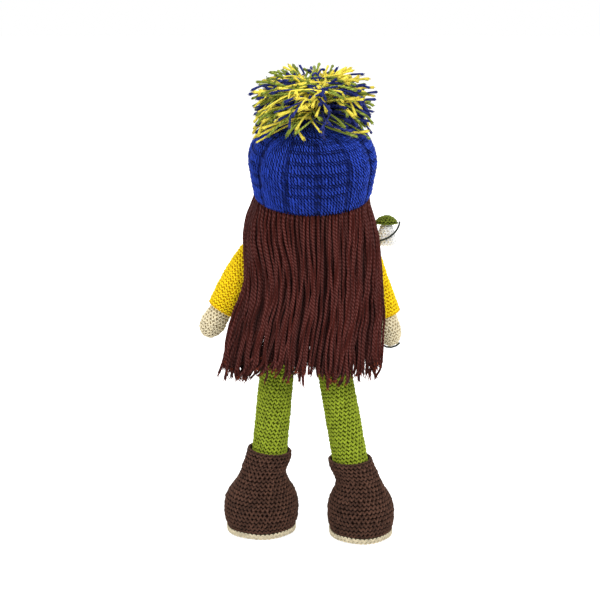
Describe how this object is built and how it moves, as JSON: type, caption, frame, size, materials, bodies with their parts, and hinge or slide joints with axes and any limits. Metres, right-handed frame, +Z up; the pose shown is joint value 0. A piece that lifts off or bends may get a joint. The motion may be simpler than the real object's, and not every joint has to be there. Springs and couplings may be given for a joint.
{
  "type": "crochet doll",
  "caption": "Crocheted stuffed doll with a liftable pompom hat, long yarn hair, swinging arms and legs, tall boots and a wire-stemmed flower in its right hand.",
  "frame": {"origin": "on the floor, under the middle of the doll's overall box", "axes": "+Z up, the doll faces -Y, and +X is the doll's own left side; at rest it stands on both soles with its arms hanging"},
  "size_m": [0.1422, 0.0956, 0.3291],
  "materials": {
    "skin": "matte crocheted cotton yarn, beige",
    "filling": "polyester fibre filling",
    "card": "stiff felt",
    "sweater": "matte crocheted cotton yarn, yellow",
    "trousers": "matte crocheted cotton yarn, olive green",
    "eye": "glossy black",
    "washer": "matte white",
    "mouth": "sewn yarn, rose brown",
    "hair": "plied yarn, dark red brown",
    "hat": "matte crocheted cotton yarn, blue",
    "pompom": "cut yarn strands in yellow, green and navy",
    "tie": "plied yarn, yellow",
    "stem": "matte, wire in a dark coat",
    "calyx": "matte crocheted cotton yarn, green",
    "bloom": "matte crocheted cotton yarn, white",
    "stamen": "sewn yarn, yellow",
    "boot": "matte crocheted cotton yarn, dark brown",
    "sole": "matte crocheted cotton yarn, cream"
  },
  "bodies": {
    "doll": {"head_skin": "skin", "head_filling": "filling", "neck_roll": "card", "sweater": "sweater", "trousers_seat": "trousers", "body_filling": "filling", "left_eye": "eye", "right_eye": "eye", "left_eye_washer": "washer", "right_eye_washer": "washer", "nose": "skin", "mouth": "mouth", "left_brow": "hair", "right_brow": "hair", "hair_cap": "hair", "hair_fringe": "hair", "left_front_lock": "hair", "right_front_lock": "hair", "hair_back_left": "hair", "hair_back_middle": "hair", "hair_back_right": "hair"},
    "hat": {"hat": "hat", "pompom": "pompom", "pompom_tie": "tie"},
    "left_arm": {"left_sleeve": "sweater", "left_arm": "skin", "left_arm_filling": "filling"},
    "right_arm": {"right_sleeve": "sweater", "right_arm": "skin", "right_arm_filling": "filling", "flower_stem": "stem", "flower_calyx": "calyx", "flower_bloom": "bloom", "flower_stamen": "stamen"},
    "left_leg": {"left_leg": "trousers", "left_leg_filling": "filling", "left_boot": "boot", "left_boot_filling": "filling", "left_insole": "card", "left_sole": "sole"},
    "right_leg": {"right_leg": "trousers", "right_leg_filling": "filling", "right_boot": "boot", "right_boot_filling": "filling", "right_insole": "card", "right_sole": "sole"}
  },
  "joints": [
    {"name": "left_shoulder", "type": "hinge", "parent": "doll", "child": "left_arm", "pos_m": [0.03111, -0.00483, 0.20175], "axis": [-1, 0, 0], "range_deg": [-8, 130]},
    {"name": "right_shoulder", "type": "hinge", "parent": "doll", "child": "right_arm", "pos_m": [-0.04304, -0.00483, 0.20175], "axis": [-1, 0, 0], "range_deg": [-5, 50]},
    {"name": "left_hip", "type": "hinge", "parent": "doll", "child": "left_leg", "pos_m": [0.01544, -0.00483, 0.131], "axis": [-1, 0, 0], "range_deg": [-15, 90]},
    {"name": "right_hip", "type": "hinge", "parent": "doll", "child": "right_leg", "pos_m": [-0.02156, -0.00483, 0.131], "axis": [-1, 0, 0], "range_deg": [-15, 90]},
    {"name": "hat_lift", "type": "slide", "parent": "doll", "child": "hat", "axis": [0, 0.2079, 0.9781], "range_m": [0, 0.1]}
  ]
}
